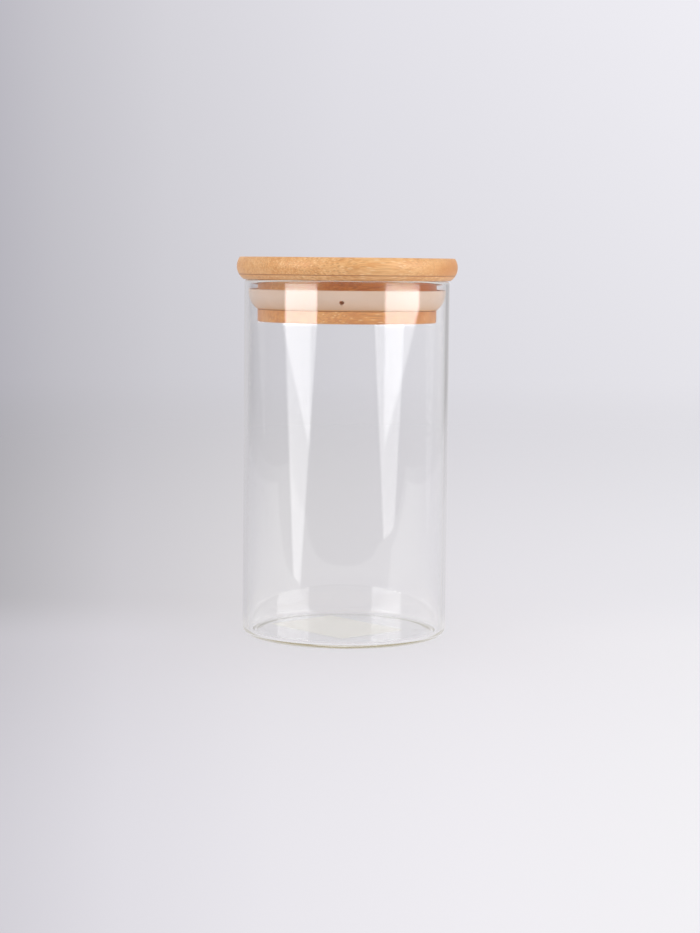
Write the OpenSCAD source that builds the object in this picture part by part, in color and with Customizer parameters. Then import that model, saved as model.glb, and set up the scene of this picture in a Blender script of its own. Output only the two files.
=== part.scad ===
// Lidded glass storage canister: a straight glass jar, a laminated bamboo lid that
// pulls straight up out of the mouth, and a silicone seal around the lid's plug.
// Millimetres, +Z up. The origin is the centre of the base, on the surface it stands on.

/* [Jar] */
// Outer diameter of the glass
jar_d = 100; // [95:1:140]
// Height of the glass, from the foot to the rim
jar_h = 173.5; // [90:0.5:260]
// Thickness of the glass wall
wall_t = 1.7; // [1.4:0.1:3]
// Thickness of the glass base
base_t = 1.7; // [1.4:0.1:5]
// Radius outside, where the wall turns into the base
heel_r = 3.5; // [2:0.1:4]
// Radius inside, where the wall turns into the base
inner_heel_r = 2; // [1:0.1:4]
// Width of the flat ring that the jar stands on
foot_w = 1.6; // [1:0.1:2]
// Height of the shallow hollow under the base
recess_h = 0.5; // [0.4:0.1:1.2]
// Width of the slope from the foot ring up into the hollow
recess_slope_w = 2; // [1:0.1:2.4]

/* [Label] */
// Length of the blank paper label under the base
label_l = 54.5; // [30:0.5:56]
// Width of the label
label_w = 40; // [20:0.5:42]
// Thickness of the label
label_t = 0.15; // [0.1:0.05:0.3]
// Turn of the label's long side from the X axis, in degrees
label_turn = -48.5; // [-90:0.5:90]
// Sideways offset of the label's middle from the jar's axis
label_x = -3.8; // [-5:0.1:5]
// Front-to-back offset of the label's middle
label_y = 3.7; // [-5:0.1:5]

/* [Lid] */
// How far the cap stands out past the glass
cap_overhang = 3.75; // [2:0.25:6]
// Thickness of the cap above the glass rim
cap_t = 10.8; // [9:0.1:16]
// Radius of the bulging rim of the cap
edge_arc_r = 7.6; // [7:0.1:12]
// Depth of the cap's widest line below its top
edge_arc_drop = 4.5; // [3:0.1:5]
// Thickness of the uppermost bamboo ply
top_ply_t = 8.4; // [6:0.1:8.8]
// Radial gap between the plug and the glass
plug_gap = 4.7; // [3.5:0.1:7]
// Height of the plain neck between the cap and the seal's groove
neck_h = 6; // [5:0.1:10]
// Height of the seal's groove
groove_h = 8.4; // [7:0.1:12]
// Depth of the seal's groove
groove_depth = 3; // [2:0.1:5]
// Thickness of the flange below the groove
flange_t = 6; // [4:0.1:10]
// Chamfer on the flange's lower edge
flange_chamfer = 0.6; // [0.2:0.1:1.5]

/* [Seal] */
// Running clearance between the seal's band and the groove
band_fit = 0.05; // [0.02:0.01:0.1]
// Clearance between the lip's edge and the glass
lip_gap = 0.15; // [0.1:0.05:0.4]
// Height of the lip, from its root to its edge
lip_h = 9.7; // [8:0.1:10.6]
// Thickness of the lip
lip_t = 1.2; // [0.8:0.1:1.6]
// Diameter of the vent hole in the lip
vent_d = 2.3; // [1.5:0.1:2.6]
// Height of the vent hole above the lip's root
vent_rise = 3.9; // [3.4:0.1:4.6]
// Turn of the vent hole to the left of straight ahead, in degrees
vent_turn = 3; // [0:1:359]

/* [Hidden] */
$fn = 128;

// Jar
jar_r = jar_d / 2;
bore_r = jar_r - wall_t;
floor_z = recess_h + base_t;
foot_r = jar_r - heel_r - foot_w;
rim_r = wall_t / 2;
below = 1;

// Lid, from the glass rim that it rests on
cap_r = jar_r + cap_overhang;
plug_r = bore_r - plug_gap;
groove_r = plug_r - groove_depth;
lid_top = jar_h + cap_t;
top_seam_z = lid_top - top_ply_t;
groove_top = jar_h - neck_h;
groove_floor = groove_top - groove_h;
lid_bottom = groove_floor - flange_t;

// Seal. Its lip is an arc that leaves the band's lower corner and ends upright.
band_r = groove_r + band_fit;
band_z = groove_floor + band_fit;
band_h = groove_h - 2 * band_fit;
lip_r = bore_r - lip_gap;
lip_reach = lip_r - plug_r;
lip_upright_h = lip_h - lip_t / 2;
lip_arc_r = (pow(lip_reach, 2) + pow(lip_upright_h, 2)) / (2 * lip_reach);
lip_arc_x = lip_r - lip_arc_r;
lip_arc_z = band_z + lip_upright_h;
vent_slope = asin((lip_upright_h - vent_rise) / lip_arc_r);
vent_cut = lip_t + 1;

// A block of the given width and height whose lower outer corner is rounded
module heeled_block(w, h, r) {
    translate([0, r]) square([w, h - r]);
    square([w - r, h]);
    translate([w - r, r]) circle(r);
}

// The hollow under the base, which keeps the label off the surface
module recess_section() {
    polygon([
        [0, -below],
        [foot_r, -below],
        [foot_r, 0],
        [foot_r - recess_slope_w, recess_h],
        [0, recess_h]
    ]);
}

module glass_jar() {
    color("lightcyan", 0.35) rotate_extrude() {
        difference() {
            heeled_block(jar_r, jar_h - rim_r, heel_r);
            translate([0, floor_z]) heeled_block(bore_r, jar_h, inner_heel_r);
            recess_section();
        }
        translate([jar_r - rim_r, jar_h - rim_r]) circle(rim_r);
    }
}

module base_label() {
    color("ivory")
        translate([label_x, label_y, recess_h - label_t / 2])
        rotate([0, 0, label_turn])
        cube([label_l, label_w, label_t], center = true);
}

// The cap's rim is one arc, cut off by the flat top and the flat underside
module cap_section() {
    intersection() {
        union() {
            square([cap_r - edge_arc_r, cap_t]);
            translate([cap_r - edge_arc_r, cap_t - edge_arc_drop]) circle(edge_arc_r);
        }
        square([cap_r, cap_t]);
    }
}

module plug_section() {
    polygon([
        [0, lid_bottom],
        [plug_r - flange_chamfer, lid_bottom],
        [plug_r, lid_bottom + flange_chamfer],
        [plug_r, jar_h + cap_t / 2],
        [0, jar_h + cap_t / 2]
    ]);
}

// The whole turned lid: cap, neck, groove and flange
module lid_section() {
    difference() {
        union() {
            translate([0, jar_h]) cap_section();
            plug_section();
        }
        translate([groove_r, groove_floor]) square([cap_r - groove_r, groove_h]);
    }
}

// One glued layer of the lid, between two heights
module lid_ply(bottom, top) {
    rotate_extrude() intersection() {
        lid_section();
        translate([0, bottom]) square([cap_r, top - bottom]);
    }
}

module lid_top_ply() {
    color("burlywood") lid_ply(top_seam_z, lid_top);
}

module lid_rim_ply() {
    color("tan") lid_ply(groove_top, top_seam_z);
}

module lid_groove_ply() {
    color("burlywood") lid_ply(groove_floor, groove_top);
}

module lid_flange_ply() {
    color("tan") lid_ply(lid_bottom, groove_floor);
}

// The band that sits in the groove
module band_section() {
    translate([band_r, band_z]) square([plug_r - band_r, band_h]);
}

// The lip that curves out and up to the glass, with a rounded edge
module lip_section() {
    intersection() {
        translate([lip_arc_x, lip_arc_z]) difference() {
            circle(lip_arc_r);
            circle(lip_arc_r - lip_t);
        }
        translate([band_r, band_z]) square([lip_r - band_r, lip_upright_h]);
    }
    translate([lip_r - lip_t / 2, lip_arc_z]) circle(lip_t / 2);
}

// A hole square to the lip's outer face
module vent_hole() {
    rotate([0, 0, -90 - vent_turn])
        translate([lip_arc_x, 0, lip_arc_z])
        rotate([0, 90 + vent_slope, 0])
        translate([0, 0, lip_arc_r - lip_t / 2])
        cylinder(d = vent_d, h = vent_cut, center = true);
}

module seal_ring() {
    color("linen", 0.8) difference() {
        rotate_extrude() {
            band_section();
            lip_section();
        }
        vent_hole();
    }
}

glass_jar();
base_label();
seal_ring();
lid_top_ply();
lid_rim_ply();
lid_groove_ply();
lid_flange_ply();
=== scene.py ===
"""Finishes, detailed pieces and studio for a lidded glass storage canister.

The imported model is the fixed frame. Every piece here is a surface worked out from the
canister's own sizes, in metres, and stands where its solid stands: the glass jar, the
label under it, the silicone seal and the four bamboo plies of the lid.
"""

import logging
import math
from dataclasses import dataclass
from enum import Enum
from typing import Iterable, Sequence

import bmesh
import bpy
import numpy as np
from mathutils import Matrix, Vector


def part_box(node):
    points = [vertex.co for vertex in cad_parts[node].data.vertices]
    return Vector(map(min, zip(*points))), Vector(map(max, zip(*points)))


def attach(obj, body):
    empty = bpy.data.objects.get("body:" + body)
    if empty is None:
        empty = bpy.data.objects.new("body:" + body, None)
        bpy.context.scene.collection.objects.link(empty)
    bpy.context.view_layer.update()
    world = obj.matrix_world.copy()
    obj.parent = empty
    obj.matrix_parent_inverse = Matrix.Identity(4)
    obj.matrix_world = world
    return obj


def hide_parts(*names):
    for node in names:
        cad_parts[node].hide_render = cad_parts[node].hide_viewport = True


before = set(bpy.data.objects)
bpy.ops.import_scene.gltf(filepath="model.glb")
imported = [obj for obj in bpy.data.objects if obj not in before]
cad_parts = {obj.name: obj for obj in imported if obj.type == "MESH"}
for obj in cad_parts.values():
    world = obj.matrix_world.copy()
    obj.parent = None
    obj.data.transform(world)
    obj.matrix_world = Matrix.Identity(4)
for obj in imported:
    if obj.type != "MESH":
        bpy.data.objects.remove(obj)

LOG = logging.getLogger("canister")
MM = 0.001
TURN = 2 * math.pi
DEGREE = math.pi / 180
CREASE = 40.0

Colour = tuple[float, float, float]
Socket = bpy.types.NodeSocket


# ---------------------------------------------------------------- surfaces


def line(start: Sequence[float], end: Sequence[float], steps: int) -> np.ndarray:
    """Points along a straight stretch of an outline, without its last point.

    Args:
        start: Radius and height of the first point.
        end: Radius and height of the point that the stretch runs up to.
        steps: How many points to lay, evenly spaced.

    Returns:
        An array of (radius, height) rows.
    """
    t = np.arange(steps)[:, None] / steps
    return (1 - t) * np.asarray(start, float) + t * np.asarray(end, float)


def arc(centre: Sequence[float], radius: float, first: float, last: float, steps: int) -> np.ndarray:
    """Points along a round stretch of an outline, without its last point.

    The point at angle a lies at centre + radius * (cos a, sin a).

    Args:
        centre: Radius and height of the arc's centre.
        radius: The arc's own radius.
        first: Angle of the first point, in radians from the outward direction.
        last: Angle that the stretch runs up to.
        steps: How many points to lay, evenly spaced.

    Returns:
        An array of (radius, height) rows.
    """
    a = first + (last - first) * np.arange(steps) / steps
    return np.stack([centre[0] + radius * np.cos(a), centre[1] + radius * np.sin(a)], 1)


def grid_faces(rows: int, columns: int, close_rows: bool) -> np.ndarray:
    """Quads over a grid of points whose columns run once round the axis.

    Args:
        rows: Points along the outline.
        columns: Points round the axis.
        close_rows: True if the outline's last point joins its first.

    Returns:
        An array of four point numbers a row.
    """
    i, j = np.meshgrid(np.arange(rows if close_rows else rows - 1), np.arange(columns), indexing="ij")
    i, j = i.ravel(), j.ravel()
    up, on = (i + 1) % rows, (j + 1) % columns
    return np.stack([i * columns + j, i * columns + on, up * columns + on, up * columns + j], 1)


def signed_volume(points: np.ndarray, faces: Iterable[np.ndarray]) -> float:
    """Volume inside closed faces, negative where they point inwards.

    Each face is fanned into triangles from its first corner, and a triangle adds a sixth of
    the triple product of its corners.
    """
    total = 0.0
    for block in faces:
        for k in range(1, block.shape[1] - 1):
            a, b, c = points[block[:, 0]], points[block[:, k]], points[block[:, k + 1]]
            total += float(np.einsum("ij,ij->i", a, np.cross(b, c)).sum()) / 6
    return total


def add_mesh(
    name: str, points: np.ndarray, faces: Sequence[np.ndarray], crease: float = CREASE
) -> bpy.types.Object:
    """Makes a smooth-shaded object from points and blocks of faces, turned outwards.

    Args:
        name: The object's and its mesh's name.
        points: One (x, y, z) row a vertex, in metres.
        faces: Blocks of faces, each with one number of corners.
        crease: Edges that bend by more than this many degrees stay sharp.

    Returns:
        The new object, linked to the scene, at the origin.
    """
    blocks = [block for block in faces if len(block)]
    if signed_volume(points, blocks) < 0:
        blocks = [block[:, ::-1] for block in blocks]
    mesh = bpy.data.meshes.new(name)
    mesh.from_pydata(points, [], [tuple(f) for block in blocks for f in block.tolist()])
    mesh.validate()
    mesh.shade_smooth()
    mesh.set_sharp_from_angle(angle=crease * DEGREE)
    made = bpy.data.objects.new(name, mesh)
    bpy.context.scene.collection.objects.link(made)
    return made


def turned_points(outline: np.ndarray, columns: int, start: float = 0.0) -> np.ndarray:
    """Carries an outline round the Z axis.

    The point of row i and column j is (r_i cos a_j, r_i sin a_j, z_i).

    Args:
        outline: (radius, height) rows.
        columns: How many turns of the outline to lay.
        start: Angle of the first column, in radians.

    Returns:
        An array of shape (rows, columns, 3).
    """
    a = start + TURN * np.arange(columns) / columns
    r, z = outline[:, :1], outline[:, 1:]
    return np.stack([r * np.cos(a), r * np.sin(a), z + 0 * a], 2)


def capped(
    points: np.ndarray, low: float, high: float, middle: Sequence[float] = (0.0, 0.0)
) -> tuple[np.ndarray, list[np.ndarray]]:
    """Closes an open grid of turned points with one pole at each end of its outline.

    Args:
        points: Array of shape (rows, columns, 3).
        low: Height of the pole that closes the first row.
        high: Height of the pole that closes the last row.
        middle: Where both poles stand, as (x, y).

    Returns:
        The flat points and the blocks of faces.
    """
    rows, columns, _ = points.shape
    flat = np.concatenate([points.reshape(-1, 3), [[*middle, low], [*middle, high]]])
    j = np.arange(columns)
    on = (j + 1) % columns
    last = (rows - 1) * columns
    first_fan = np.stack([np.full(columns, rows * columns), on, j], 1)
    last_fan = np.stack([np.full(columns, rows * columns + 1), last + j, last + on], 1)
    return flat, [grid_faces(rows, columns, False), first_fan, last_fan]


# ---------------------------------------------------------------- shaders


class Wiring:
    """The nodes of one tree being wired up."""

    def __init__(self, tree: bpy.types.NodeTree, output: str) -> None:
        """Empties the tree and gives it an output node of this kind."""
        self.tree = tree
        self.tree.nodes.clear()
        self.output = self.tree.nodes.new(f"ShaderNode{output}")

    def node(self, kind: str, inputs: dict | None = None, **settings: object) -> bpy.types.Node:
        """Adds a node.

        Args:
            kind: The node's type, without its ShaderNode prefix.
            inputs: Input name or number to a value, or to the socket that feeds it.
            settings: Attributes of the node itself.

        Returns:
            The new node.
        """
        made = self.tree.nodes.new(f"ShaderNode{kind}")
        for key, value in settings.items():
            setattr(made, key, value)
        for key, value in (inputs or {}).items():
            if isinstance(value, bpy.types.NodeSocket):
                self.tree.links.new(value, made.inputs[key])
            else:
                made.inputs[key].default_value = value
        return made

    def math(self, operation: str, *values: object) -> Socket:
        """One arithmetic step on numbers or sockets."""
        return self.node("Math", dict(enumerate(values)), operation=operation).outputs[0]

    def product(self, *values: object) -> Socket:
        """Numbers or sockets multiplied in turn."""
        result = values[0]
        for value in values[1:]:
            result = self.math("MULTIPLY", result, value)
        return result

    def straight(
        self, value: Socket, low: float, high: float, start: float = 0.0, end: float = 1.0, **settings: str
    ) -> Socket:
        """Carries low..high onto start..end along a straight line, and stops at its ends."""
        limits = {"Value": value, "From Min": low, "From Max": high, "To Min": start, "To Max": end}
        return self.node("MapRange", limits, **settings).outputs[0]

    def ramp(self, value: Socket, low: float, high: float, start: float = 0.0, end: float = 1.0) -> Socket:
        """Carries low..high onto start..end along a smooth step."""
        return self.straight(value, low, high, start, end, interpolation_type="SMOOTHSTEP")

    def parts(self, output: str = "Object") -> tuple[Socket, Socket, Socket]:
        """X, Y and Z of the piece's own coordinates, or of another kind of them."""
        return tuple(self.node("SeparateXYZ", {0: self.node("TexCoord").outputs[output]}).outputs)

    def bearing(self, x: Socket, y: Socket) -> Socket:
        """Radians round the Z axis from straight in front, positive to the right."""
        return self.math("ARCTAN2", x, self.math("MULTIPLY", y, -1.0))

    def radius(self, x: Socket, y: Socket) -> Socket:
        """Distance from the Z axis."""
        return self.math("SQRT", self.math("ADD", self.product(x, x), self.product(y, y)))

    def blend(self, share: object, first: object, second: object, mode: str = "MIX") -> Socket:
        """Blends two colours by a share.

        Args:
            share: 0 gives the first colour, 1 the second or the mode's full effect.
            first: A colour or the socket of one.
            second: A colour or the socket of one.
            mode: Blender's name for the way of blending.

        Returns:
            The blended colour's socket.
        """
        made = self.node("Mix", data_type="RGBA", blend_type=mode)
        for socket, value in ((made.inputs[0], share), (made.inputs[6], first), (made.inputs[7], second)):
            if isinstance(value, bpy.types.NodeSocket):
                self.tree.links.new(value, socket)
            else:
                socket.default_value = (*value, 1.0) if isinstance(value, tuple) else value
        return made.outputs[2]

    def stops(self, value: Socket, stops: Sequence[tuple[float, Colour]]) -> Socket:
        """Colours laid along a value from 0 to 1, each stop a place and its colour."""
        made = self.node("ValToRGB", {0: value})
        elements = made.color_ramp.elements
        while len(elements) < len(stops):
            elements.new(0.5)
        for element, (at, colour) in zip(elements, stops):
            element.position, element.color = at, (*colour, 1.0)
        return made.outputs[0]

    def graph(self, value: Socket, knots: Sequence[tuple[float, float]]) -> Socket:
        """A value carried through straight stretches between knots.

        Args:
            value: What is looked up.
            knots: (value, result) pairs from the lowest value up.

        Returns:
            The result's socket. Past the end knots the result stays level.
        """
        result = self.straight(value, knots[0][0], knots[1][0], knots[0][1], knots[1][1])
        for (at, level), (after, later) in zip(knots[1:], knots[2:]):
            step = self.straight(value, at, after, 0.0, later - level)
            result = self.math("ADD", result, step)
        return result

    def mix(self, share: object, first: bpy.types.Node, second: bpy.types.Node) -> bpy.types.Node:
        """A shader node that goes from the first to the second by a share."""
        return self.node("MixShader", {0: share, 1: first.outputs[0], 2: second.outputs[0]})

    def paths(self) -> tuple[Socket, Socket, Socket]:
        """What kind of ray looks: 1 for one from the eye or just through glass, 1 for one just
        mirrored, and 1 for one mirrored at any time."""
        path = self.node("LightPath").outputs
        seen = self.math("MAXIMUM", path["Is Camera Ray"], path["Is Transmission Ray"])
        return seen, path["Is Glossy Ray"], self.math("MINIMUM", path["Glossy Depth"], 1.0)

    def surface(self, shader: bpy.types.Node) -> None:
        """Makes a shader node the tree's surface."""
        self.tree.links.new(shader.outputs[0], self.output.inputs["Surface"])


class Shader(Wiring):
    """A node material being wired up."""

    def __init__(self, name: str) -> None:
        """Starts an empty material with its output node."""
        self.material = bpy.data.materials.new(name)
        self.material.use_nodes = True
        super().__init__(self.material.node_tree, "OutputMaterial")

    def place(
        self, turn: float = 0.0, scale: Sequence[float] = (1, 1, 1), offset: Sequence[float] = (0, 0, 0)
    ) -> Socket:
        """The piece's own coordinates, turned about Z, then moved and stretched.

        Args:
            turn: Angle from the piece's own X to the pattern's X, in radians.
            scale: How much each axis is stretched.
            offset: What is added after the stretch.

        Returns:
            The socket that carries the coordinates.
        """
        own = self.node("TexCoord").outputs["Object"]
        turned = self.node("Mapping", {"Vector": own, "Rotation": (0, 0, -turn)}, vector_type="POINT")
        laid = {"Vector": turned.outputs[0], "Scale": scale, "Location": offset}
        return self.node("Mapping", laid, vector_type="POINT").outputs[0]

    def noise(self, vector: Socket, detail: float = 2.0, roughness: float = 0.5) -> Socket:
        """Smooth noise from 0 to 1 at these coordinates."""
        look = {"Vector": vector, "Scale": 1.0, "Detail": detail, "Roughness": roughness}
        return self.node("TexNoise", look).outputs["Fac"]

    def cells(self, vector: Socket) -> Socket:
        """A cell pattern's distance to the nearest cell centre."""
        return self.node("TexVoronoi", {"Vector": vector, "Scale": 1.0}).outputs["Distance"]

    def bump(self, height: Socket, depth: float, under: Socket | None = None) -> Socket:
        """A normal that follows a height pattern of this depth, in metres."""
        inputs = {"Height": height, "Distance": depth, "Strength": 1.0}
        if under is not None:
            inputs["Normal"] = under
        return self.node("Bump", inputs).outputs[0]

    def volume(self, shader: bpy.types.Node) -> None:
        """Makes a shader node the material's inside."""
        self.tree.links.new(shader.outputs[0], self.output.inputs["Volume"])


@dataclass(frozen=True)
class ClearGlass:
    """Borosilicate glass: colourless in a thin wall, faintly green along a thick edge."""

    index: float = 1.474
    absorbed: Colour = (0.62, 0.58, 0.40)
    density: float = 4.0
    ripple_depth: float = 0.02 * MM
    wall_tint: Colour = (0.98, 0.985, 0.98)
    base_tint: Colour = (0.74, 0.72, 0.62)
    rim_tint: Colour = (0.90, 0.88, 0.84)
    base_top: float = 4 * MM
    rim_from: float = 12 * MM
    free_bounces: float = 2.5
    smudge_roughness: float = 0.012

    def material(self) -> bpy.types.Material:
        """Builds the glass, which lets lamp light straight through to what stands inside it.

        A ray that has been mirrored more than free_bounces times, here or elsewhere, goes
        straight on and is tinted by height: base_tint up to base_top, rim_tint from rim_from
        upwards, and a blend of both between.
        """
        s = Shader("clear_glass")
        height = s.parts()[2]
        flow = s.noise(s.place(scale=(90, 90, 14)), detail=1.0)
        flow = s.product(flow, s.ramp(height, 3 * MM, 20 * MM, 1.2, 1.0))
        smears = s.noise(s.place(scale=(30, 30, 24), offset=(3, 1, 7)), detail=3.0)
        smudge = s.ramp(smears, 0.55, 0.8, 0.0, self.smudge_roughness)
        glass = s.node(
            "BsdfPrincipled",
            {
                "Base Color": (1.0, 1.0, 1.0, 1.0),
                "Roughness": smudge,
                "IOR": self.index,
                "Transmission Weight": 1.0,
                "Normal": s.bump(flow, self.ripple_depth),
            },
        )
        path = s.node("LightPath")
        past = s.math("MAXIMUM", path.outputs["Is Shadow Ray"], path.outputs["Is Diffuse Ray"])
        trapped = s.math("GREATER_THAN", path.outputs["Glossy Depth"], self.free_bounces)
        tint = s.blend(s.ramp(height, self.base_top, self.rim_from), self.base_tint, self.rim_tint)
        clear = s.node("BsdfTransparent", {"Color": s.blend(trapped, self.wall_tint, tint)})
        s.surface(s.mix(s.math("MAXIMUM", past, trapped), glass, clear))
        s.volume(s.node("VolumeAbsorption", {"Color": (*self.absorbed, 1.0), "Density": self.density}))
        return s.material


@dataclass(frozen=True)
class Bamboo:
    """Sanded bamboo strips: long fibres along one direction, with darker bundles and glue lines, and
    painted shade on the plug's neck.
    """

    name: str
    seed: float
    pale: Colour
    honey: Colour
    seams: tuple[float, ...]
    neck_radius: float
    neck_low: float
    neck_high: float
    fibre_turn: float = 17 * DEGREE
    strip_width: float = 21.5 * MM
    ply: float = 8.4 * MM
    bundle: Colour = (0.50, 0.21, 0.065)
    fleck: Colour = (0.93, 0.64, 0.34)
    dark_strip: Colour = (0.64, 0.29, 0.10)
    light_drift: Colour = (0.86, 0.53, 0.26)
    glue: Colour = (0.40, 0.15, 0.05)
    seam_half: float = 0.12 * MM
    seam_end: float = 0.3 * MM
    end_shade: Colour = (0.93, 0.84, 0.76)
    end_share: float = 0.75
    # Painted shade multiplied into the neck under the cap, and painted light that lifts it to the sides of
    # the front; the share of painted light is listed by bearing in degrees.
    painted_neck_shade: Colour = (0.86, 0.50, 0.12)
    painted_neck_light: Colour = (1.0, 0.95, 0.80)
    painted_neck_light_share: tuple[tuple[float, float], ...] = (
        (-180, 0.4),
        (-62, 0.6),
        (-50, 1.0),
        (-28, 1.0),
        (-13, 0.1),
        (20, 0.1),
        (32, 0.9),
        (43, 0.9),
        (50, 0.0),
        (180, 0.4),
    )

    def along(self, s: Shader, scale: Sequence[float], offset: Sequence[float] | None = None) -> Socket:
        """Coordinates whose X runs along the fibres, moved by offset or else to this ply's own wood."""
        own = (self.seed * 1.7, self.seed * 3.1, self.seed * 2.3)
        return s.place(self.fibre_turn, scale, own if offset is None else offset)

    def long_grain(self, s: Shader, grain: Socket, drift: Socket, strip: Socket, dark: Socket) -> Socket:
        """Colour along the fibres: streaks, strips of their own tone, dark bundles, pale flecks."""
        colour = s.blend(s.ramp(grain, 0.39, 0.61), self.honey, self.pale)
        number = s.math("ADD", s.math("FLOOR", strip), self.seed)
        tone = s.node("TexWhiteNoise", {"W": number}, noise_dimensions="1D").outputs[0]
        colour = s.blend(s.ramp(tone, 0.0, 1.0, 0.0, 0.22), colour, self.dark_strip)
        colour = s.blend(s.ramp(drift, 0.35, 0.75, 0.0, 0.3), colour, self.light_drift)
        patch = s.ramp(s.noise(self.along(s, (20, 220, 220)), detail=1.0), 0.3, 0.7, 0.18, 0.62)
        colour = s.blend(s.product(dark, patch), colour, self.bundle)
        flecks = s.ramp(s.cells(self.along(s, (150, 950, 950), (5, 2, 8))), 0.1, 0.36, 0.68, 0.0)
        return s.blend(flecks, colour, self.fleck)

    def end_grain(self, s: Shader, drift: Socket, height: Socket) -> Socket:
        """Colour across the fibres: bundles cut to dots, denser towards each ply's upper side."""
        depth = s.math("FRACT", s.math("DIVIDE", s.math("SUBTRACT", height, self.neck_low), self.ply))
        skin = s.ramp(depth, 0.1, 0.95, 0.05, 0.55)
        dots = s.ramp(s.cells(self.along(s, (3, 1250, 1050))), 0.16, 0.42, 1.0, 0.0)
        colour = s.blend(s.ramp(drift, 0.35, 0.7), self.honey, self.pale)
        colour = s.blend(1.0, colour, self.end_shade, "MULTIPLY")
        return s.blend(s.product(dots, skin), colour, self.bundle)

    def glue_lines(self, s: Shader, strip: Socket, height: Socket) -> Socket:
        """How strongly glue shows: faintly between strips, clearly at the seams between plies."""
        beside = s.math("ABSOLUTE", s.math("SUBTRACT", s.math("FRACT", strip), 0.5))
        glue = s.ramp(beside, 0.492, 0.498, 0.0, 0.14)
        for seam in self.seams:
            off = s.math("ABSOLUTE", s.math("SUBTRACT", height, seam))
            glue = s.math("MAXIMUM", glue, s.ramp(off, self.seam_half, self.seam_end, 0.85, 0.0))
        return glue

    def neck(self, s: Shader, x: Socket, y: Socket, height: Socket) -> tuple[Socket, Socket]:
        """Where the plug's neck is, under the cap, and the painted shade laid on it, lifted by painted
        light at some bearings round the axis.
        """
        inside = s.ramp(s.radius(x, y), self.neck_radius + 0.2 * MM, self.neck_radius + 2.2 * MM, 1.0, 0.0)
        above = s.ramp(height, self.neck_low - 0.6 * MM, self.neck_low)
        below = s.ramp(height, self.neck_high, self.neck_high + 0.6 * MM, 1.0, 0.0)
        round_at = s.product(s.bearing(x, y), 1 / DEGREE)
        shade = s.blend(s.graph(round_at, self.painted_neck_light_share), self.painted_neck_shade, self.painted_neck_light)
        return s.product(inside, above, below), shade

    def material(self) -> bpy.types.Material:
        """Builds the bamboo as a solid pattern, with end grain laid over two opposite sides.

        The end grain is centred 90 degrees less fibre_turn to the right of the front, and
        opposite that. The fibres' own ends face the mirror images of those two bearings.
        """
        s = Shader(self.name)
        streak = s.noise(self.along(s, (24, 420, 420)), detail=3.0, roughness=0.6)
        thread = s.noise(self.along(s, (130, 1500, 1500)))
        drift = s.noise(self.along(s, (7, 60, 60)))
        grain = s.math("ADD", s.product(streak, 0.45), s.product(thread, 0.55))
        at = self.along(s, (4.0, 1 / self.strip_width, 0), (self.seed, self.seed * 0.37, 0))
        strip = s.node("SeparateXYZ", {0: at}).outputs[1]
        dark = s.ramp(s.cells(self.along(s, (60, 1300, 1300))), 0.15, 0.5, 1.0, 0.0)
        x, y, height = s.parts()

        end_side = (math.cos(self.fibre_turn), -math.sin(self.fibre_turn), 0.0)
        normal = s.node("TexCoord").outputs["Normal"]
        facing = s.node("VectorMath", {0: normal, 1: end_side}, operation="DOT_PRODUCT")
        end_on = s.ramp(s.math("ABSOLUTE", facing.outputs["Value"]), 0.72, 0.95)
        colour = self.long_grain(s, grain, drift, strip, dark)
        colour = s.blend(s.product(end_on, self.end_share), colour, self.end_grain(s, drift, height))
        colour = s.blend(self.glue_lines(s, strip, height), colour, self.glue)
        # Painted shade on the neck under the cap, lifted by painted light to the sides.
        neck, shade = self.neck(s, x, y, height)
        colour = s.blend(neck, colour, s.blend(1.0, colour, shade, "MULTIPLY"))
        wood = s.node(
            "BsdfPrincipled",
            {
                "Base Color": colour,
                "Roughness": s.ramp(grain, 0.3, 0.7, 0.36, 0.50),
                "Normal": s.bump(grain, 0.05 * MM, under=s.bump(dark, -0.04 * MM)),
                "Specular IOR Level": 0.8,
            },
        )
        s.surface(wood)
        return s.material


@dataclass(frozen=True)
class MilkySilicone:
    """Translucent silicone rubber that lets the wood behind it show through softly.

    The band lies on the wood inside band_radius and takes its colour, which fades along the lip.
    """

    body: Colour = (0.94, 0.71, 0.57)
    backed: Colour = (0.92, 0.47, 0.18)
    cloudy: Colour = (0.91, 0.675, 0.53)
    clear: Colour = (0.97, 0.93, 0.88)
    clear_share: float = 0.17
    band_radius: float = 44 * MM

    def material(self) -> bpy.types.Material:
        """Builds the rubber as part see-through, part milky, with a satin skin."""
        s = Shader("milky_silicone")
        cloud = s.noise(s.place(scale=(120, 120, 160)), detail=3.0)
        grain = s.noise(s.place(scale=(2600, 2600, 2600)), detail=1.0)
        colour = s.blend(s.ramp(cloud, 0.3, 0.75), self.body, self.cloudy)
        near = self.band_radius
        knots = ((near - 0.4 * MM, 1.0), (near + 0.6 * MM, 0.4), (near + 3.8 * MM, 0.0))
        on_band = s.graph(s.radius(*s.parts()[:2]), knots)
        colour = s.blend(on_band, colour, self.backed)
        rubber = s.node(
            "BsdfPrincipled",
            {
                "Base Color": colour,
                "Roughness": s.ramp(cloud, 0.2, 0.8, 0.52, 0.66),
                "IOR": 1.41,
                "Specular IOR Level": 0.3,
                "Subsurface Weight": 0.3,
                "Subsurface Radius": (0.9, 0.8, 0.7),
                "Subsurface Scale": 3 * MM,
                "Normal": s.bump(grain, 0.01 * MM),
            },
        )
        clear = s.node("BsdfTransparent", {"Color": (*self.clear, 1.0)})
        s.surface(s.mix(self.clear_share, rubber, clear))
        return s.material


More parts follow.
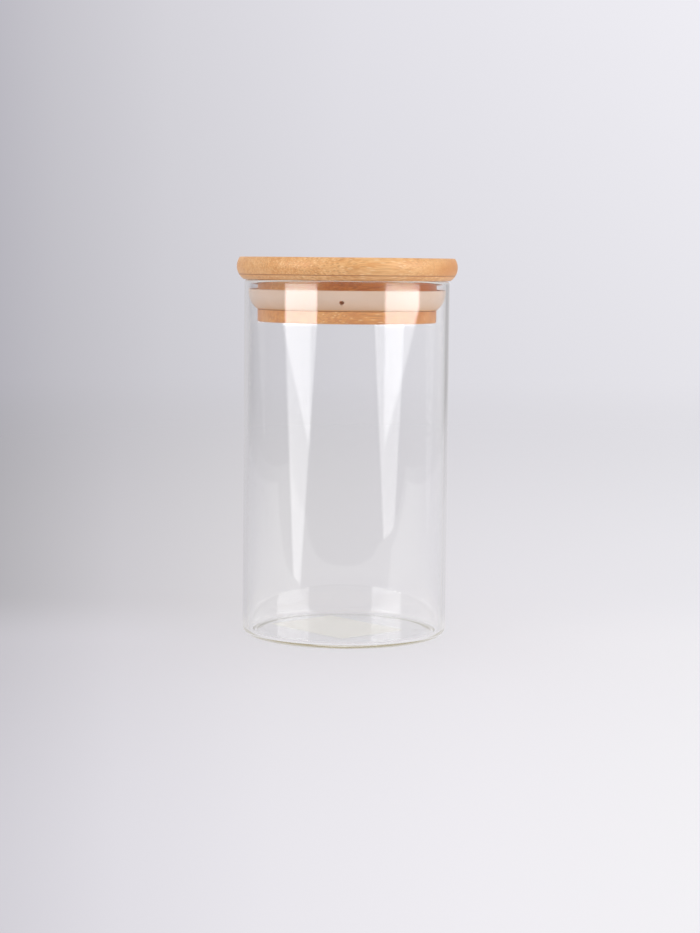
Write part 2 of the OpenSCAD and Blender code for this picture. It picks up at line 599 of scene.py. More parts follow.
@dataclass(frozen=True)
class LabelPaper:
    """Blank uncoated label paper with a faint fibre."""

    cream: Colour = (0.97, 0.95, 0.90)
    between: Colour = (0.92, 0.90, 0.84)

    def material(self) -> bpy.types.Material:
        """Builds the paper with short crossed fibres in its colour and its relief."""
        s = Shader("label_paper")
        along = s.noise(s.place(0.6, (300, 2400, 900)), detail=3.0)
        across = s.noise(s.place(-0.8, (2400, 300, 900)), detail=3.0)
        fibre = s.math("MULTIPLY", along, across)
        colour = s.blend(s.ramp(fibre, 0.15, 0.35), self.between, self.cream)
        paper = s.node(
            "BsdfPrincipled",
            {
                "Base Color": colour,
                "Roughness": s.ramp(fibre, 0.1, 0.4, 0.78, 0.92),
                "Normal": s.bump(fibre, 0.03 * MM),
            },
        )
        s.surface(paper)
        return s.material


# ---------------------------------------------------------------- pieces


class Body(Enum):
    """The moving bodies that pieces ride on."""

    JAR = "jar"
    SEAL = "seal"
    LID = "lid"


class Slot(Enum):
    """The record's material slots."""

    GLASS = "glass"
    BAMBOO = "bamboo"
    SILICONE = "silicone"
    PAPER = "paper"


def settle(
    piece: bpy.types.Object, finish: bpy.types.Material, body: Body, node: str
) -> bpy.types.Object:
    """Dresses a piece and lets it stand for the solid in its place.

    Args:
        piece: The finished object, at the origin.
        finish: Its material.
        body: What it moves with.
        node: The solid that it stands for.

    Returns:
        The same piece.
    """
    piece.data.materials.append(finish)
    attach(piece, body.value)
    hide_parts(node)
    LOG.info("%s: %d faces, on %s", piece.name, len(piece.data.polygons), body.value)
    return piece


def ripples(angle: np.ndarray, waves: Sequence[tuple[int, float, float]]) -> np.ndarray:
    """A closed wavy line round the axis: the sum of sines, each (count, height, phase)."""
    return sum(height * np.sin(count * angle + phase) for count, height, phase in waves)


@dataclass
class Jar:
    """The glass jar, blown straight with a rounded heel and a fire-polished rim."""

    wall: float = 1.7 * MM
    base: float = 1.7 * MM
    heel: float = 3.5 * MM
    inner_heel: float = 1.6 * MM
    foot_width: float = 1.6 * MM
    recess: float = 0.5 * MM
    recess_slope: float = 2.0 * MM
    rim_rise: float = 1.8 * MM
    rim_drop: float = 0.21 * MM
    fade: float = 2.0 * MM
    hub: float = 2.0 * MM
    rim_steps: int = 24
    columns: int = 320
    rim_waves: tuple[tuple[int, float, float], ...] = (
        (2, 0.06 * MM, 0.4),
        (5, 0.06 * MM, 1.9),
        (9, 0.05 * MM, 0.7),
        (14, 0.03 * MM, 2.6),
    )
    shoulder_waves: tuple[tuple[int, float, float], ...] = (
        (3, 0.16, 2.2),
        (7, 0.14, 0.3),
        (12, 0.10, 1.1),
    )

    def outline(self, radius: float, height: float) -> np.ndarray:
        """The glass in section, from the axis underneath, round the rim, to the axis inside.

        Args:
            radius: The jar's outer radius.
            height: The height of the rim.

        Returns:
            (radius, height) rows; the poles on the axis are left out.
        """
        bore = radius - self.wall
        foot = radius - self.heel - self.foot_width
        floor = self.recess + self.base
        half, rise = self.wall / 2, self.rim_rise
        quarter = math.pi / 2
        turn = np.arange(self.rim_steps)[:, None] * math.pi / self.rim_steps
        bulge = np.concatenate([half * np.cos(turn), rise * np.sin(turn)], 1)
        return np.concatenate(
            [
                line((self.hub, self.recess), (foot - self.recess_slope, self.recess), 12),
                line((foot - self.recess_slope, self.recess), (foot, 0), 6),
                line((foot, 0), (radius - self.heel, 0), 4),
                arc((radius - self.heel, self.heel), self.heel, -quarter, 0, 16),
                line((radius, self.heel), (radius, height - rise), 60),
                np.array([radius - half, height - rise]) + bulge,
                line((bore, height - rise), (bore, floor + self.inner_heel), 60),
                arc((bore - self.inner_heel, floor + self.inner_heel), self.inner_heel, 0, -quarter, 14),
                line((bore - self.inner_heel, floor), (self.hub, floor), 14),
                [[self.hub, floor]],
            ]
        )

    def build(self) -> bpy.types.Object:
        """Turns the section and gives the rim the slight unevenness of worked glass.

        Returns:
            The jar, dressed and in place.
        """
        low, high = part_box("glass_jar")
        height = high.z
        points = turned_points(self.outline((high.x - low.x) / 2, height), self.columns)
        angle = TURN * np.arange(self.columns) / self.columns
        depth = height - points[:, :, 2]
        past_rim = (depth - self.rim_rise) / self.fade
        reach = np.where(depth < self.rim_rise, depth, self.rim_rise * np.exp(-(past_rim**2)))
        points[:, :, 2] -= reach * ripples(angle, self.shoulder_waves)
        near_rim = np.exp(-((depth / self.fade) ** 2))
        points[:, :, 2] -= near_rim * (self.rim_drop + ripples(angle, self.rim_waves))
        mesh_points, faces = capped(points, self.recess, self.recess + self.base)
        piece = add_mesh("jar_glass", mesh_points, faces, crease=75)
        return settle(piece, ClearGlass().material(), Body.JAR, "glass_jar")


@dataclass
class Label:
    """The blank paper label under the base."""

    length: float = 54.5 * MM
    width: float = 40 * MM
    corner: float = 1.5 * MM
    turn: float = -48.5 * DEGREE
    middle: tuple[float, float] = (-3.8 * MM, 3.7 * MM)
    sink: float = 0.03 * MM
    lift: float = 0.03 * MM
    cockle: float = 0.02 * MM
    rings: int = 24
    corner_steps: int = 10
    side_steps: int = 16

    def edge(self) -> np.ndarray:
        """The label's outline: four straight sides joined by quarter circles, as (x, y) rows."""
        half = np.array([self.length / 2 - self.corner, self.width / 2 - self.corner])
        middles = [half * sign for sign in ((1, 1), (-1, 1), (-1, -1), (1, -1))]
        rows = []
        for k, here in enumerate(middles):
            first, last = k * math.pi / 2, (k + 1) * math.pi / 2
            out = self.corner * np.array([math.cos(last), math.sin(last)])
            rows.append(arc(here, self.corner, first, last, self.corner_steps))
            rows.append(line(here + out, middles[(k + 1) % 4] + out, self.side_steps))
        return np.concatenate(rows)

    def build(self) -> bpy.types.Object:
        """Lays rings of the outline from the edge to the middle, above and below.

        The top is pressed into the glass by a hair, as glue wets it, so no air shows between.

        Returns:
            The label, dressed and in place.
        """
        low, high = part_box("base_label")
        edge = self.edge()
        share = np.linspace(1, 1 / self.rings, self.rings)[:, None, None]
        flat = share * edge
        cosine, sine = math.cos(self.turn), math.sin(self.turn)
        x = flat[:, :, 0] * cosine - flat[:, :, 1] * sine + self.middle[0]
        y = flat[:, :, 0] * sine + flat[:, :, 1] * cosine + self.middle[1]
        cockle = self.cockle * np.sin(x / (4 * MM)) * np.cos(y / (5 * MM))
        top = np.stack([x, y, np.full_like(x, high.z + self.sink)], 2)
        bottom = np.stack([x, y, low.z + self.lift + cockle], 2)
        rings = np.concatenate([bottom[::-1], top])
        points, faces = capped(rings, low.z + self.lift, high.z + self.sink, self.middle)
        piece = add_mesh("paper_label", points, faces)
        return settle(piece, LabelPaper().material(), Body.JAR, "base_label")


@dataclass
class Lid:
    """The laminated bamboo lid: four glued plies, turned as one block."""

    edge_arc: float = 7.6 * MM
    edge_drop: float = 4.5 * MM
    groove_depth: float = 3.0 * MM
    chamfer: float = 0.6 * MM
    top_ease: float = 0.9 * MM
    under_ease: float = 0.8 * MM
    seam_ease: float = 0.10 * MM
    ring_ease: float = 0.35 * MM
    columns: int = 288
    hub: float = 1 * MM
    face_steps: int = 10
    first_seed: float = 3.0
    seed_step: float = 2.9
    pales: tuple[Colour, ...] = (
        (0.88, 0.505, 0.21),
        (0.88, 0.51, 0.225),
        (0.84, 0.42, 0.15),
        (0.83, 0.37, 0.10),
    )
    honeys: tuple[Colour, ...] = (
        (0.73, 0.33, 0.10),
        (0.72, 0.33, 0.11),
        (0.66, 0.25, 0.07),
        (0.64, 0.22, 0.05),
    )

    def cap_arc(self, cap_r: float, top: float) -> tuple[float, float]:
        """Centre of the arc that bulges round the cap's rim."""
        return cap_r - self.edge_arc, top - self.edge_drop

    def rim_radius(self, z: float, centre: tuple[float, float]) -> float:
        """Radius of the cap's rim arc at a height."""
        return centre[0] + math.sqrt(self.edge_arc**2 - (z - centre[1]) ** 2)

    def eased_edge(self, centre: tuple[float, float], plane: float, ease: float, upper: bool) -> tuple:
        """The small round between the rim arc and a flat face.

        Its circle of radius e lies inside both: e from the plane, and edge_arc - e from the
        rim arc's centre.

        Args:
            centre: The rim arc's centre.
            plane: Height of the flat face.
            ease: Radius of the small round.
            upper: True for the face above the rim, False for the one below.

        Returns:
            The small round's centre, and the angle at which it meets the rim arc.
        """
        side = 1 if upper else -1
        z = plane - side * ease
        r = centre[0] + math.sqrt((self.edge_arc - ease) ** 2 - (z - centre[1]) ** 2)
        return (r, z), math.atan2(z - centre[1], r - centre[0])

    def section(
        self, low: float, low_r: float, edge: Sequence[np.ndarray], high: float, high_r: float
    ) -> np.ndarray:
        """Section of a ply: flat below out to low_r, then its edge, then flat above in from high_r."""
        return np.concatenate(
            [
                line((self.hub, low), (low_r, low), self.face_steps),
                *edge,
                line((high_r, high), (self.hub, high), self.face_steps),
                [[self.hub, high]],
            ]
        )

    def top_ply(self, seam: float, top: float, cap_r: float) -> np.ndarray:
        """Section of the upper ply: flat seam, bulging rim with a sanded edge, flat top."""
        centre = self.cap_arc(cap_r, top)
        eased_r, raised = self.rim_radius(seam, centre) - self.seam_ease, seam + self.seam_ease
        small, meet = self.eased_edge(centre, top, self.top_ease, True)
        edge = [
            line((eased_r, seam), (self.rim_radius(raised, centre), raised), 2),
            arc(centre, self.edge_arc, math.asin((raised - centre[1]) / self.edge_arc), meet, 26),
            arc(small, self.top_ease, meet, math.pi / 2, 8),
        ]
        return self.section(seam, eased_r, edge, top, small[0])

    def rim_ply(
        self, low: float, under: float, seam: float, top: float, cap_r: float, plug_r: float
    ) -> np.ndarray:
        """Section of the second ply: the plug's neck, the cap's underside and lower rim."""
        centre, e = self.cap_arc(cap_r, top), self.ring_ease
        eased_r, lowered = self.rim_radius(seam, centre) - self.seam_ease, seam - self.seam_ease
        small, meet = self.eased_edge(centre, under, self.under_ease, False)
        edge = [
            arc((plug_r - e, low + e), e, -math.pi / 2, 0, 4),
            line((plug_r, low + e), (plug_r, under), 6),
            line((plug_r, under), (small[0], under), 5),
            arc(small, self.under_ease, -math.pi / 2, meet, 7),
            arc(centre, self.edge_arc, meet, math.asin((lowered - centre[1]) / self.edge_arc), 12),
            line((self.rim_radius(lowered, centre), lowered), (eased_r, seam), 2),
        ]
        return self.section(low, plug_r - e, edge, seam, eased_r)

    def flange_ply(self, low: float, high: float, r: float) -> np.ndarray:
        """Section of the lowest ply: a disc with a soft chamfer below and a sanded edge above."""
        c, e = self.chamfer, self.ring_ease
        edge = [
            arc((r - c, low + c), c, -math.pi / 2, 0, 6),
            line((r, low + c), (r, high - e), 6),
            arc((r - e, high - e), e, 0, math.pi / 2, 4),
        ]
        return self.section(low, r - c, edge, high, r - e)

    def build(self) -> list[bpy.types.Object]:
        """Turns the four plies and gives each its own piece of bamboo.

        Returns:
            The plies, from the top down.
        """
        top_low, top_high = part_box("lid_top_ply")
        rim_low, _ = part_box("lid_rim_ply")
        groove_low, groove_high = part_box("lid_groove_ply")
        flange_low, flange_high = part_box("lid_flange_ply")
        _, jar_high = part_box("glass_jar")
        cap_r = (top_high.x - top_low.x) / 2
        plug_r = (flange_high.x - flange_low.x) / 2
        groove_r = plug_r - self.groove_depth
        wall = line((groove_r, groove_low.z), (groove_r, groove_high.z), 8)
        top, seam, under = top_high.z, top_low.z, jar_high.z
        sections = {
            "lid_top_ply": self.top_ply(seam, top, cap_r),
            "lid_rim_ply": self.rim_ply(rim_low.z, under, seam, top, cap_r, plug_r),
            "lid_groove_ply": self.section(groove_low.z, groove_r, [wall], groove_high.z, groove_r),
            "lid_flange_ply": self.flange_ply(flange_low.z, flange_high.z, plug_r),
        }
        seams = (seam, rim_low.z, groove_low.z)
        plies = []
        for number, (node, section) in enumerate(sections.items()):
            points, faces = capped(turned_points(section, self.columns), section[0, 1], section[-1, 1])
            piece = add_mesh(node.replace("lid_", "bamboo_"), points, faces, crease=35)
            finish = Bamboo(
                name=f"bamboo_{number + 1}",
                seed=self.first_seed + self.seed_step * number,
                seams=seams,
                pale=self.pales[number],
                honey=self.honeys[number],
                neck_radius=plug_r,
                neck_low=rim_low.z,
                neck_high=under,
            )
            plies.append(settle(piece, finish.material(), Body.LID, node))
        return plies


@dataclass
class Seal:
    """The silicone ring: a band in the groove and a lip that curves out and up to the glass."""

    lip_thickness: float = 1.2 * MM
    lip_gap: float = 0.15 * MM
    plug_gap: float = 4.7 * MM
    band_fit: float = 0.05 * MM
    vent_width: float = 2.3 * MM
    vent_rise: float = 3.9 * MM
    vent_turn: float = 3 * DEGREE
    columns: int = 576
    patch: int = 4
    patch_reach: float = 1.75
    corner: float = 0.3 * MM

    def __post_init__(self) -> None:
        """Works out the lip's arc from the ring's solid and the jar's bore, and the vent's place on it."""
        jar_low, jar_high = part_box("glass_jar")
        low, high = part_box("seal_ring")
        bore = (jar_high.x - jar_low.x) / 2 - Jar.wall
        self.plug_r = bore - self.plug_gap
        self.band_r = self.plug_r - Lid.groove_depth + self.band_fit
        self.lip_r = bore - self.lip_gap
        self.foot_z = low.z
        _, groove_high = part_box("lid_groove_ply")
        self.band_top = groove_high.z - self.band_fit
        reach = self.lip_r - self.plug_r
        rise = high.z - self.lip_thickness / 2 - self.foot_z
        self.arc_r = (reach**2 + rise**2) / (2 * reach)
        self.arc_at = (self.lip_r - self.arc_r, self.foot_z + rise)
        self.vent = -math.asin((rise - self.vent_rise) / self.arc_r)
        self.step = (self.vent_width / 2 * self.patch_reach / self.patch) / self.arc_r

    def arc_start(self, radius: float, r: float) -> float:
        """Angle at which the lip's arc of this radius passes a distance r from the axis."""
        return -math.acos((r - self.arc_at[0]) / radius)

    def outline(self) -> tuple[np.ndarray, int, int]:
        """The ring in section, and the rows of it that pass through the vent's middle.

        The vent's middle falls on a point of both arcs, so that the hole can be cut between rows.

        Returns:
            The (radius, height) rows, and the rows at the vent's middle on the outer and inner arc.
        """
        e, vent = self.corner, self.vent
        outer_start = self.arc_start(self.arc_r, self.plug_r)
        inner_r = self.arc_r - self.lip_thickness
        inner_end = self.arc_start(inner_r, self.plug_r)
        below = round((vent - outer_start) / self.step)
        above = round((0 - vent) / self.step)
        inner_below = round((vent - inner_end) / self.step)
        inner_foot = (self.plug_r, self.arc_at[1] + inner_r * math.sin(inner_end))
        tip_r = self.lip_thickness / 2
        parts = [
            arc((self.band_r + e, self.foot_z + e), e, math.pi, 1.5 * math.pi, 4),
            line((self.band_r + e, self.foot_z), (self.plug_r, self.foot_z), 5),
            arc(self.arc_at, self.arc_r, outer_start, vent, below),
            arc(self.arc_at, self.arc_r, vent, 0, above),
            arc((self.lip_r - tip_r, self.arc_at[1]), tip_r, 0, math.pi, 10),
            arc(self.arc_at, inner_r, 0, vent, above),
            arc(self.arc_at, inner_r, vent, inner_end, inner_below),
            line(inner_foot, (self.plug_r, self.band_top - e), 6),
            arc((self.plug_r - e, self.band_top - e), e, 0, math.pi / 2, 4),
            arc((self.band_r + e, self.band_top - e), e, math.pi / 2, math.pi, 4),
            line((self.band_r, self.band_top - e), (self.band_r, self.foot_z + e), 8),
        ]
        starts = np.cumsum([0] + [len(p) for p in parts])
        return np.concatenate(parts), int(starts[3]), int(starts[6])

    def vent_ring(self, radius: float, share: np.ndarray) -> np.ndarray:
        """Rings of points on one of the lip's arcs, from the patch's square edge to the round hole.

        A ring is worked out on the arc's own coordinates, turn round the axis and angle along
        the arc, both measured in metres from the vent's middle, and then laid on the surface.

        Args:
            radius: The arc's radius, outer or inner.
            share: 0 for the square edge, 1 for the hole, one value a ring.

        Returns:
            An array of shape (rings, points, 3).
        """
        n = self.patch
        across = TURN / self.columns
        k = np.arange(8 * n)
        side, along = k // (2 * n), k % (2 * n)
        square_u = np.choose(side, [-n + along, n + 0 * along, n - along, -n + 0 * along]).astype(float)
        square_v = np.choose(side, [-n + 0 * along, -n + along, n + 0 * along, n - along]).astype(float)
        ring_r = self.arc_at[0] + radius * math.cos(self.vent)
        u, v = square_u * across * ring_r, square_v * self.step * radius
        bearing = np.arctan2(v, u)
        round_u, round_v = np.cos(bearing) * self.vent_width / 2, np.sin(bearing) * self.vent_width / 2
        s = share[:, None]
        u, v = (1 - s) * u + s * round_u, (1 - s) * v + s * round_v
        angle = self.vent + v / radius
        turn = -math.pi / 2 - self.vent_turn + u / ring_r
        r = self.arc_at[0] + radius * np.cos(angle)
        return np.stack([r * np.cos(turn), r * np.sin(turn), self.arc_at[1] + radius * np.sin(angle)], 2)

    def build(self) -> bpy.types.Object:
        """Turns the ring, opens a square patch in both faces of the lip and rounds it to the vent.

        Returns:
            The seal, dressed and in place.
        """
        section, outer_row, inner_row = self.outline()
        rows, columns, n = len(section), self.columns, self.patch
        middle = columns // 2
        start = -math.pi / 2 - self.vent_turn - TURN * middle / columns
        body = turned_points(section, columns, start).reshape(-1, 3)
        faces = grid_faces(rows, columns, True)
        row, column = faces[:, 0] // columns, faces[:, 0] % columns
        in_turn, in_outer, in_inner = (
            (at >= place - n) & (at < place + n)
            for at, place in ((column, middle), (row, outer_row), (row, inner_row))
        )
        cut = in_turn & (in_outer | in_inner)
        share = np.array([0.0, 0.35, 0.7, 1.0])
        inner_r = self.arc_r - self.lip_thickness
        outer_rings, inner_rings = self.vent_ring(self.arc_r, share), self.vent_ring(inner_r, share)
        wall = np.linspace(0, 1, 5)[1:-1, None, None]
        sides = (1 - wall) * outer_rings[-1] + wall * inner_rings[-1]
        tunnel = np.concatenate([outer_rings, sides, inner_rings[::-1]])
        tunnel_faces = grid_faces(len(tunnel), 8 * n, False) + len(body)
        points = np.concatenate([body, tunnel.reshape(-1, 3)])
        piece = add_mesh("silicone_seal", points, [faces[~cut], tunnel_faces])
        weld(piece, 0.01 * MM)
        return settle(piece, MilkySilicone().material(), Body.SEAL, "seal_ring")


def weld(piece: bpy.types.Object, reach: float) -> None:
    """Joins points that lie within reach of each other and turns the faces outwards."""
    mesh = bmesh.new()
    mesh.from_mesh(piece.data)
    bmesh.ops.remove_doubles(mesh, verts=mesh.verts, dist=reach)
    bmesh.ops.recalc_face_normals(mesh, faces=mesh.faces)
    mesh.to_mesh(piece.data)
    mesh.free()
    piece.data.shade_smooth()
    piece.data.set_sharp_from_angle(angle=CREASE * DEGREE)


# ---------------------------------------------------------------- studio


@dataclass(frozen=True)
class Softbox:
    """A tall lit panel of the studio, as it shows in the glass and on the satin wood.

    Its edges are bearings from straight in front of the canister, in degrees, positive to the
    right. Its rises are degrees above the horizon. Below it the panel shows as its image in a
    glossy table would: tapering from taper_from down to taper_to, and weaker below its step.
    """

    inner: float
    outer: float
    low_inner: float
    low_outer: float
    taper_from: float
    taper_to: float
    strength: float
    low_strength: float
    step: float = -1.6
    soft: float = 1.5
    top_from: float = 38.0
    top_to: float = 46.0


@dataclass
class Studio:
    """Floor, backdrop, softboxes, lamps and camera.

    The stops of the floor and the backdrop run from the view's left edge, 0, to its right, 1, and paint
    the light's falloff, darker to the left.
    room holds the level of the room's walls at bearings from straight in front, in degrees;
    beyond_from and beyond_to are bearings too, and come right_later degrees later on the
    right. The floor's tones fan out from a point fan_from in front of the canister, under the
    eye. table_edge is the mirrored table's front edge as (x, y) places, in metres.
    """

    eye: tuple[float, float, float] = (0.0, -1.0277, 0.1815)
    pitch: float = 5.52 * DEGREE
    yaw: float = -0.127 * DEGREE
    roll: float = 0.58 * DEGREE
    focal_px: float = 2101.0
    long_side_px: float = 933.0
    sensor: float = 36.0
    aim_height: float = 0.12
    floor_size: float = 8.0
    floor_near: tuple[tuple[float, Colour], ...] = (
        (0.0, (0.645, 0.63, 0.675)),
        (0.18, (0.745, 0.73, 0.775)),
        (0.4, (0.815, 0.80, 0.84)),
        (0.7, (0.865, 0.85, 0.885)),
        (1.0, (0.89, 0.88, 0.905)),
    )
    floor_far: tuple[tuple[float, Colour], ...] = (
        (0.0, (0.475, 0.465, 0.49)),
        (0.18, (0.63, 0.615, 0.645)),
        (0.4, (0.74, 0.725, 0.745)),
        (0.7, (0.805, 0.79, 0.825)),
        (1.0, (0.855, 0.845, 0.88)),
    )
    floor_glow: float = 0.6
    floor_fade: tuple[float, float] = (0.35, 2.4)
    backdrop: tuple[tuple[float, Colour], ...] = (
        (0.0, (0.49, 0.48, 0.53)),
        (0.1, (0.575, 0.565, 0.61)),
        (0.25, (0.67, 0.66, 0.705)),
        (0.5, (0.76, 0.75, 0.80)),
        (1.0, (0.87, 0.86, 0.91)),
    )
    backdrop_behind: Colour = (0.80, 0.79, 0.83)
    half_view: float = 0.17
    fan_from: float = 1.03
    fan_least: float = 0.3
    fill: Colour = (0.97, 0.97, 1.0)
    room: tuple[tuple[float, float], ...] = (
        (0, 0.35),
        (55, 0.365),
        (85, 0.47),
        (118, 0.56),
        (134, 0.60),
        (156, 0.47),
    )
    room_tint: Colour = (1.0, 0.985, 1.02)
    beyond_from: float = 134.0
    beyond_to: float = 149.0
    right_later: float = 22.0
    ceiling: Colour = (0.80, 0.79, 0.80)
    beyond_left: Colour = (0.64, 0.63, 0.665)
    beyond_right: Colour = (0.72, 0.71, 0.745)
    # Painted glow of the lit table, seen only in reflections.
    table_glow: float = 0.96
    table_edge: tuple[tuple[float, float], ...] = (
        (-0.28, -0.14),
        (-0.17, -0.17),
        (-0.116, -0.142),
        (-0.05, -0.131),
        (0.05, -0.131),
        (0.116, -0.142),
        (0.224, -0.2),
        (0.3, -0.25),
    )
    table_side: float = 0.78
    table_around: tuple[float, float] = (80 * DEGREE, 118 * DEGREE)
    foot_edge: tuple[float, float] = (0.06, 0.10)
    softboxes: tuple[Softbox, ...] = (
        Softbox(-33.5, -73.0, -51.0, -59.0, -1.7, -8.8, 6.3, 2.4),
        Softbox(43.5, 88.0, 43.5, 46.0, -1.2, -4.8, 5.4, 2.0, soft=2.5),
    )

    def camera(self) -> None:
        """Sets the camera at the height of the lid, tipped down and rolled by a hair."""
        data = bpy.data.cameras.new("camera")
        data.sensor_width = self.sensor
        data.lens = self.focal_px / self.long_side_px * self.sensor
        data.clip_start, data.clip_end = 0.05, 60
        camera = bpy.data.objects.new("camera", data)
        bpy.context.scene.collection.objects.link(camera)
        camera.matrix_world = (
            Matrix.Translation(self.eye)
            @ Matrix.Rotation(self.yaw, 4, "Z")
            @ Matrix.Rotation(math.pi / 2 - self.pitch, 4, "X")
            @ Matrix.Rotation(self.roll, 4, "Z")
        )
        bpy.context.scene.camera = camera

    def floor(self) -> None:
        """Lays a pale matt table top that darkens to the left, a painted falloff of the light, and fades
        into the backdrop.

        In reflections it is a painted glow standing in for a lit table, ending at edges of its own, past
        which the room shows.
        """
        size = self.floor_size
        square = np.array([[-size, -size, 0], [size, -size, 0], [size, size, 0], [-size, size, 0]])
        mesh = bpy.data.meshes.new("floor")
        mesh.from_pydata(square, [], [(0, 1, 2, 3)])
        floor = bpy.data.objects.new("floor", mesh)
        bpy.context.scene.collection.objects.link(floor)
        s = Shader("floor_paper")
        x, y, _ = s.parts()
        away = s.node("VectorMath", {0: s.node("TexCoord").outputs["Object"]}, operation="LENGTH")
        away = away.outputs["Value"]
        colour = self.floor_colour(s, x, y)
        seen, _, mirrored = s.paths()
        paper = s.node("BsdfDiffuse", {"Color": colour})
        glow = s.node("Emission", {"Color": colour})
        clear = s.node("BsdfTransparent")
        # To the eye the floor partly glows with this painted colour, so its shadow stays faint.
        lit = s.mix(s.product(seen, self.floor_glow), paper, glow)
        direct = s.mix(s.ramp(away, *self.floor_fade), lit, clear)
        tone, covered = self.mirrored_table(s, x, y, away, colour)
        sheen = s.mix(covered, clear, s.node("Emission", {"Color": tone}))
        s.surface(s.mix(mirrored, direct, sheen))
        mesh.materials.append(s.material)

    def floor_colour(self, s: Wiring, x: Socket, y: Socket) -> Socket:
        """The table's colour to the eye, with the light's falloff painted in: a fan of tones darker to the
        left, paler near the eye.
        """
        ahead = s.math("MAXIMUM", s.math("ADD", y, self.fan_from), self.fan_least)
        fan = s.math("DIVIDE", x, ahead)
        across = s.straight(fan, -self.half_view, self.half_view)
        near, far = s.stops(across, self.floor_near), s.stops(across, self.floor_far)
        nearness = s.math("ADD", s.ramp(y, -0.04, 0.11, 0.6, 0.0), s.ramp(y, -0.45, 0.0, 0.4, 0.0))
        return s.blend(nearness, far, near)

    def mirrored_table(
        self, s: Wiring, x: Socket, y: Socket, away: Socket, colour: Socket
    ) -> tuple[Socket, Socket]:
        """The table as reflections show it: a painted glow standing in for a lit table.

        Args:
            s: The floor's wiring.
            x: Distance to the right of the canister.
            y: Distance behind the canister.
            away: Distance from the canister's axis.
            colour: The table's colour to the eye, kept right under the canister.

        Returns:
            The table's tone, and 1 within its edges.
        """
        past_edge = s.math("SUBTRACT", y, s.graph(x, self.table_edge))
        front = s.ramp(past_edge, -0.008, 0.008)
        side = s.ramp(s.math("ABSOLUTE", x), self.table_side - 0.02, self.table_side + 0.02, 1.0, 0.0)
        around = s.ramp(s.math("ABSOLUTE", s.bearing(x, y)), *self.table_around, 1.0, 0.0)
        off_foot = s.ramp(away, *self.foot_edge)
        beyond = s.blend(s.ramp(x, -0.12, 0.12), self.beyond_left, self.beyond_right)
        tone = s.blend(off_foot, colour, beyond)
        tone = s.blend(s.product(around, off_foot), tone, (self.table_glow,) * 3)
        return tone, s.product(front, side, s.ramp(away, *self.floor_fade, 1.0, 0.0))

    def softbox(self, s: Wiring, box: Softbox, bearing: Socket, rise: Socket) -> Socket:
        """How strongly one softbox shows in a direction.

        Args:
            s: The world's wiring.
            box: The softbox.
            bearing: Degrees from straight in front.
            rise: Degrees above the horizon.

        Returns:
            The socket of its strength there, 0 outside its edges.
        """
        side = 1.0 if box.inner > 0 else -1.0
        turn = s.product(bearing, side)
        near = s.straight(rise, box.taper_to, box.taper_from, side * box.low_inner, side * box.inner)
        wide = s.straight(rise, box.taper_to, box.taper_from, side * box.low_outer, side * box.outer)
        after = s.ramp(s.math("SUBTRACT", turn, near), -box.soft, box.soft)
        before = s.ramp(s.math("SUBTRACT", turn, wide), -box.soft, box.soft, 1.0, 0.0)
        tall = s.ramp(rise, box.taper_to - 0.5, box.taper_to + 0.2)
        high = s.ramp(rise, box.top_from, box.top_to, 1.0, 0.0)
        strength = s.ramp(rise, box.step - 0.15, box.step, box.low_strength, box.strength)
        dimmer_above = s.ramp(rise, 3.0, 8.0, 1.0, 0.5)
        return s.product(after, before, tall, high, strength, dimmer_above)

    def seen_backdrop(self, s: Wiring, x: Socket, y: Socket, z: Socket) -> Socket:
        """The backdrop's colour to the eye: paler to the right, a painted falloff of the light, a little
        darker low down, and one even tone well to the sides and behind."""
        pale = s.stops(s.straight(x, -self.half_view, self.half_view), self.backdrop)
        pale = s.blend(s.straight(z, -0.07, 0.12, 0.1, 0.0), pale, (0.0, 0.0, 0.0))
        return s.blend(s.ramp(y, 0.3, 0.9), self.backdrop_behind, pale)

    def mirrored_room(self, s: Wiring, x: Socket, y: Socket, z: Socket) -> Socket:
        """The dim room with its softboxes, as reflections show it."""
        bearing = s.product(s.bearing(x, y), 1 / DEGREE)
        rise = s.product(s.math("ARCSINE", z), 1 / DEGREE)
        turned = s.math("ABSOLUTE", bearing)
        level = s.graph(turned, self.room)
        room = s.node("CombineXYZ", {k: s.product(level, share) for k, share in enumerate(self.room_tint)})
        room = s.blend(s.ramp(rise, 5.5, 16.0), room.outputs[0], self.ceiling)
        beyond = s.blend(s.ramp(x, -0.3, 0.3), self.beyond_left, self.beyond_right)
        late = s.product(s.math("GREATER_THAN", bearing, 0.0), self.right_later)
        past = s.ramp(s.math("SUBTRACT", turned, late), self.beyond_from, self.beyond_to)
        room = s.blend(past, room, beyond)
        boxes = s.math("ADD", *(self.softbox(s, box, bearing, rise) for box in self.softboxes))
        lamps = s.node("CombineXYZ", {k: boxes for k in range(3)}).outputs[0]
        return s.blend(1.0, room, lamps, "ADD")

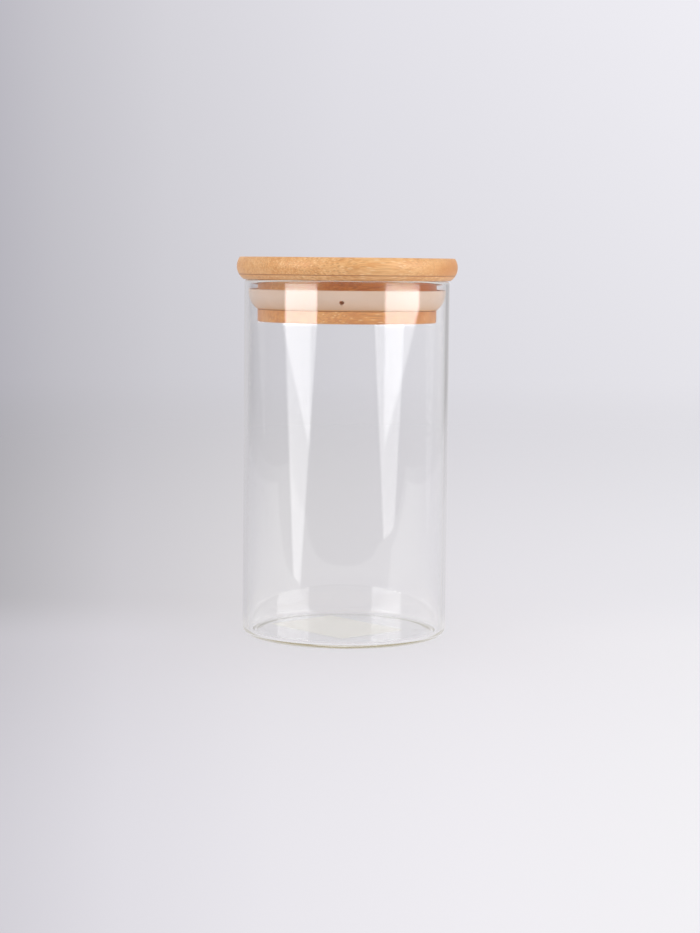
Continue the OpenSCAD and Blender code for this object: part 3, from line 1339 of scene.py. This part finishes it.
    def surroundings(self) -> None:
        """Sets the world: a pale backdrop to the eye, a fill for the shade that is stronger from
        behind the canister, and the dim room with its softboxes in reflections."""
        world = bpy.data.worlds.new("studio")
        bpy.context.scene.world = world
        world.use_nodes = True
        s = Wiring(world.node_tree, "OutputWorld")
        toward = s.parts("Generated")
        fill_level = s.ramp(toward[1], -0.5, 0.5, 0.3, 0.75)
        fill = s.node("Background", {"Color": (*self.fill, 1.0), "Strength": fill_level})
        shown = s.node("Background", {"Color": self.seen_backdrop(s, *toward)})
        reflected = s.node("Background", {"Color": self.mirrored_room(s, *toward)})
        seen, glossy, mirrored = s.paths()
        plain = s.mix(seen, fill, shown)
        s.surface(s.mix(s.product(mirrored, s.math("MAXIMUM", seen, glossy)), plain, reflected))

    def lamp(
        self, name: str, place: Sequence[float], size: tuple[float, float], power: float, colour: Colour
    ) -> None:
        """Adds a soft rectangular lamp aimed at the canister.

        Args:
            name: The lamp's name.
            place: Where its middle stands.
            size: Its width and height.
            power: Its power in watts.
            colour: Its colour.
        """
        data = bpy.data.lights.new(name, "AREA")
        data.shape, data.size, data.size_y = "RECTANGLE", *size
        data.energy, data.color = power, colour
        lamp = bpy.data.objects.new(name, data)
        bpy.context.scene.collection.objects.link(lamp)
        away = np.array(place) - np.array((0, 0, self.aim_height))
        turn = math.atan2(away[0], -away[1])
        tip = math.atan2(math.hypot(away[0], away[1]), away[2])
        aim = Matrix.Rotation(turn, 4, "Z") @ Matrix.Rotation(tip, 4, "X")
        lamp.matrix_world = Matrix.Translation(place) @ aim
        lamp.visible_glossy = lamp.visible_camera = lamp.visible_transmission = False

    def build(self) -> None:
        """Sets the whole studio, shown without any tone curve."""
        bpy.context.scene.view_settings.view_transform = "Standard"
        self.camera()
        self.floor()
        self.surroundings()
        self.lamp("left_lamp", (-1.2, -0.88, 0.6), (0.8, 1.0), 9.8, (1.0, 0.98, 0.96))
        self.lamp("right_lamp", (1.27, -0.8, 0.6), (0.8, 1.0), 11.2, (1.0, 0.99, 0.98))
        self.lamp("top_lamp", (0.0, 0.1, 1.6), (1.2, 1.2), 5, (1.0, 1.0, 1.0))
        LOG.info("studio: %d softboxes and three lamps", len(self.softboxes))


def main() -> None:
    """Builds the canister's pieces in order, then the studio."""
    logging.basicConfig(level=logging.INFO, format="%(name)s: %(message)s")
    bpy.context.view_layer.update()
    Jar().build()
    Label().build()
    Seal().build()
    Lid().build()
    Studio().build()


if __name__ == "__main__":
    main()
